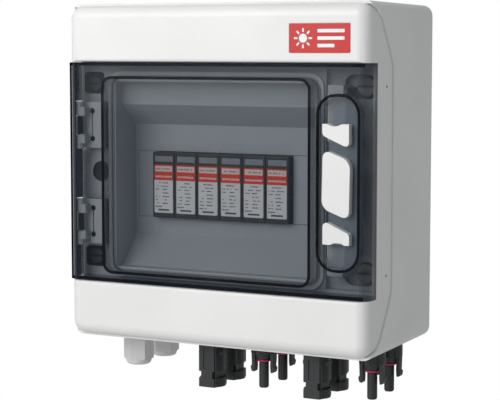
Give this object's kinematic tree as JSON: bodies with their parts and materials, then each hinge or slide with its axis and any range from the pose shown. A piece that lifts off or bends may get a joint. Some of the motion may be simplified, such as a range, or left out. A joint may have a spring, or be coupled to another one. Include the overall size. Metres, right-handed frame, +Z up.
{
  "type": "dc combiner box",
  "caption": "Light grey wall enclosure with a hinged smoked door over plug-in surge arresters, and solar connectors and cable glands underneath.",
  "frame": {"origin": "centre of the back face that meets the wall", "axes": "+X to the right seen from the front, +Y into the wall, +Z up; the front faces -Y"},
  "size_m": [0.2298, 0.108, 0.2666],
  "materials": {
    "base_plastic": "satin",
    "lid_plastic": "satin",
    "gasket_rubber": "matte",
    "smoked_polycarbonate": "gloss",
    "bracket_plastic": "satin",
    "steel": "satin",
    "latch_plastic": "satin",
    "blanking_plastic": "satin",
    "arrester_plastic": "matte",
    "screw_nylon": "satin",
    "connector_plastic": "matte",
    "seal_rubber": "matte",
    "gland_plastic": "satin",
    "red_insulation": "satin",
    "black_insulation": "satin",
    "green_yellow_insulation": "satin"
  },
  "bodies": {
    "housing": {"base_box": "base_plastic", "lid": "lid_plastic", "lid_gasket": "gasket_rubber", "door_gasket": "gasket_rubber", "hinge_bracket_upper": "bracket_plastic", "hinge_bracket_lower": "bracket_plastic", "blanking_strip_left": "blanking_plastic", "blanking_strip_right": "blanking_plastic", "din_rail": "steel", "spd_base_1": "arrester_plastic", "spd_base_2": "arrester_plastic", "earth_wire": "green_yellow_insulation", "socket_connector_1": "connector_plastic", "plug_connector_1": "connector_plastic", "socket_lock_nut_1": "connector_plastic", "plug_lock_nut_1": "connector_plastic", "seal_ring_1": "seal_rubber", "dc_wire_1": "red_insulation", "socket_connector_2": "connector_plastic", "plug_connector_2": "connector_plastic", "socket_lock_nut_2": "connector_plastic", "plug_lock_nut_2": "connector_plastic", "seal_ring_2": "seal_rubber", "dc_wire_2": "red_insulation", "socket_connector_3": "connector_plastic", "plug_connector_3": "connector_plastic", "socket_lock_nut_3": "connector_plastic", "plug_lock_nut_3": "connector_plastic", "seal_ring_3": "seal_rubber", "dc_wire_3": "black_insulation", "socket_connector_4": "connector_plastic", "plug_connector_4": "connector_plastic", "socket_lock_nut_4": "connector_plastic", "plug_lock_nut_4": "connector_plastic", "seal_ring_4": "seal_rubber", "dc_wire_4": "black_insulation", "gland_body_front": "gland_plastic", "gland_cap_front": "gland_plastic", "gland_lock_nut_front": "gland_plastic", "gland_body_rear": "gland_plastic", "gland_cap_rear": "gland_plastic", "gland_lock_nut_rear": "gland_plastic"},
    "door": {"door": "smoked_polycarbonate", "hinge_pin_upper": "steel", "hinge_pin_lower": "steel", "latch_grip": "latch_plastic", "latch_spring_upper": "steel", "latch_spring_lower": "steel"},
    "upper_slider": {"latch_slider_upper": "latch_plastic"},
    "lower_slider": {"latch_slider_lower": "latch_plastic"},
    "plug_1": {"spd_plug_1": "arrester_plastic"},
    "plug_2": {"spd_plug_2": "arrester_plastic"},
    "plug_3": {"spd_plug_3": "arrester_plastic"},
    "plug_4": {"spd_plug_4": "arrester_plastic"},
    "plug_5": {"spd_plug_5": "arrester_plastic"},
    "plug_6": {"spd_plug_6": "arrester_plastic"},
    "screw_upper_left": {"lid_screw_upper_left": "screw_nylon"},
    "screw_upper_right": {"lid_screw_upper_right": "screw_nylon"},
    "screw_lower_left": {"lid_screw_lower_left": "screw_nylon"},
    "screw_lower_right": {"lid_screw_lower_right": "screw_nylon"}
  },
  "joints": [
    {"name": "door_hinge", "type": "hinge", "parent": "housing", "child": "door", "pos_m": [-0.1082, -0.1015, 0], "axis": [0, 0, -1], "range_deg": [0, 110]},
    {"name": "upper_slider_slide", "type": "slide", "parent": "door", "child": "upper_slider", "axis": [0, 0, -1], "range_m": [0, 0.0045], "stiffness_N_per_m": 150, "springref_m": -0.02, "deforming": ["latch_spring_upper"]},
    {"name": "lower_slider_slide", "type": "slide", "parent": "door", "child": "lower_slider", "axis": [0, 0, 1], "range_m": [0, 0.0045], "stiffness_N_per_m": 150, "springref_m": -0.02, "deforming": ["latch_spring_lower"]},
    {"name": "plug_1_slide", "type": "slide", "parent": "housing", "child": "plug_1", "axis": [0, -1, 0], "range_m": [0, 0.025]},
    {"name": "plug_2_slide", "type": "slide", "parent": "housing", "child": "plug_2", "axis": [0, -1, 0], "range_m": [0, 0.025]},
    {"name": "plug_3_slide", "type": "slide", "parent": "housing", "child": "plug_3", "axis": [0, -1, 0], "range_m": [0, 0.025]},
    {"name": "plug_4_slide", "type": "slide", "parent": "housing", "child": "plug_4", "axis": [0, -1, 0], "range_m": [0, 0.025]},
    {"name": "plug_5_slide", "type": "slide", "parent": "housing", "child": "plug_5", "axis": [0, -1, 0], "range_m": [0, 0.025]},
    {"name": "plug_6_slide", "type": "slide", "parent": "housing", "child": "plug_6", "axis": [0, -1, 0], "range_m": [0, 0.025]},
    {"name": "screw_upper_left_turn", "type": "hinge", "parent": "housing", "child": "screw_upper_left", "pos_m": [-0.1026, -0.0852, 0.0605], "axis": [0, 1, 0], "range_deg": [0, 90]},
    {"name": "screw_lower_left_turn", "type": "hinge", "parent": "housing", "child": "screw_lower_left", "pos_m": [-0.1026, -0.0852, -0.0608], "axis": [0, 1, 0], "range_deg": [0, 90]},
    {"name": "screw_upper_right_turn", "type": "hinge", "parent": "housing", "child": "screw_upper_right", "pos_m": [0.1026, -0.0814, 0.0605], "axis": [0, 1, 0], "range_deg": [0, 90]},
    {"name": "screw_lower_right_turn", "type": "hinge", "parent": "housing", "child": "screw_lower_right", "pos_m": [0.1026, -0.0814, -0.0608], "axis": [0, 1, 0], "range_deg": [0, 90]}
  ]
}
